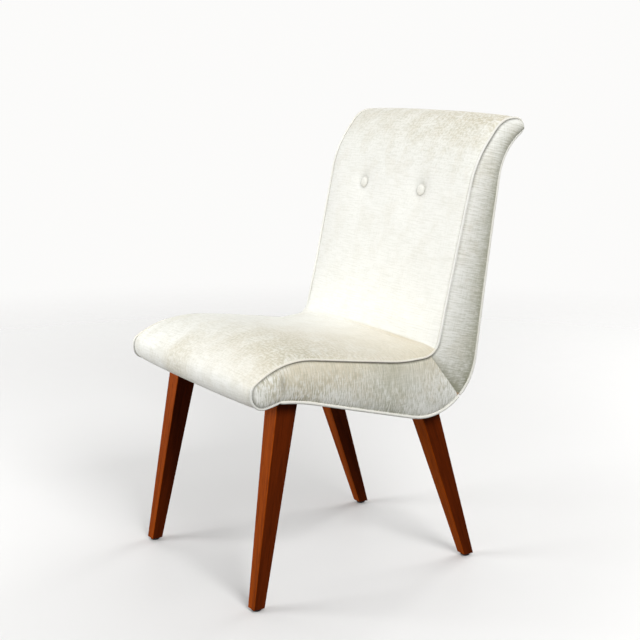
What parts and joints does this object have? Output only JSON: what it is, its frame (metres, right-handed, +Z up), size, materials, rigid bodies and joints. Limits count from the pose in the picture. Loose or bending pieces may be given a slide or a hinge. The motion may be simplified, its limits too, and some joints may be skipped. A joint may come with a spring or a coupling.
{
  "type": "button back chair",
  "caption": "Armless upholstered chair with a continuous padded seat and scrolled back, sewn-in back buttons, piped side panels and raked square tapered wooden legs.",
  "frame": {"origin": "on the floor, under the middle of the bounding box", "axes": "+Z up from the floor, +Y from the front of the chair to its back, +X to the right as seen from the front"},
  "size_m": [0.4644, 0.567, 0.8268],
  "materials": {
    "ivory_velvet": "crushed velvet with a soft sheen",
    "walnut": "satin lacquered walnut",
    "beech": "bare sawn beech",
    "zinc_steel": "zinc plated",
    "glide_plastic": "moulded",
    "foam": "open cell foam",
    "hessian": "coarse jute weave",
    "black_lining": "thin spun lining cloth"
  },
  "bodies": {
    "root": {"seat_and_back_cover": "ivory_velvet", "outside_back_panel": "ivory_velvet", "left_seat_side_panel": "ivory_velvet", "right_seat_side_panel": "ivory_velvet", "left_back_side_panel": "ivory_velvet", "right_back_side_panel": "ivory_velvet", "left_upper_piping": "ivory_velvet", "right_upper_piping": "ivory_velvet", "left_bottom_piping": "ivory_velvet", "right_bottom_piping": "ivory_velvet", "left_rear_piping": "ivory_velvet", "right_rear_piping": "ivory_velvet", "left_button": "ivory_velvet", "right_button": "ivory_velvet", "front_left_leg": "walnut", "front_right_leg": "walnut", "rear_left_leg": "walnut", "rear_right_leg": "walnut", "front_rail": "beech", "rear_rail": "beech", "lower_back_rail": "beech", "top_rail": "beech", "left_seat_rail": "beech", "right_seat_rail": "beech", "left_back_post": "beech", "right_back_post": "beech", "front_left_corner_block": "beech", "front_right_corner_block": "beech", "rear_left_corner_block": "beech", "rear_right_corner_block": "beech", "frame_dowels": "beech", "button_toggles": "beech", "leg_bolts": "zinc_steel", "leg_inserts": "zinc_steel", "block_screws": "zinc_steel", "seat_springs": "zinc_steel", "spring_clips": "zinc_steel", "leg_glides": "glide_plastic", "seat_foam": "foam", "back_foam": "foam", "seat_hessian": "hessian", "back_webbing": "hessian", "button_twines": "hessian", "dust_cover": "black_lining"}
  },
  "joints": []
}
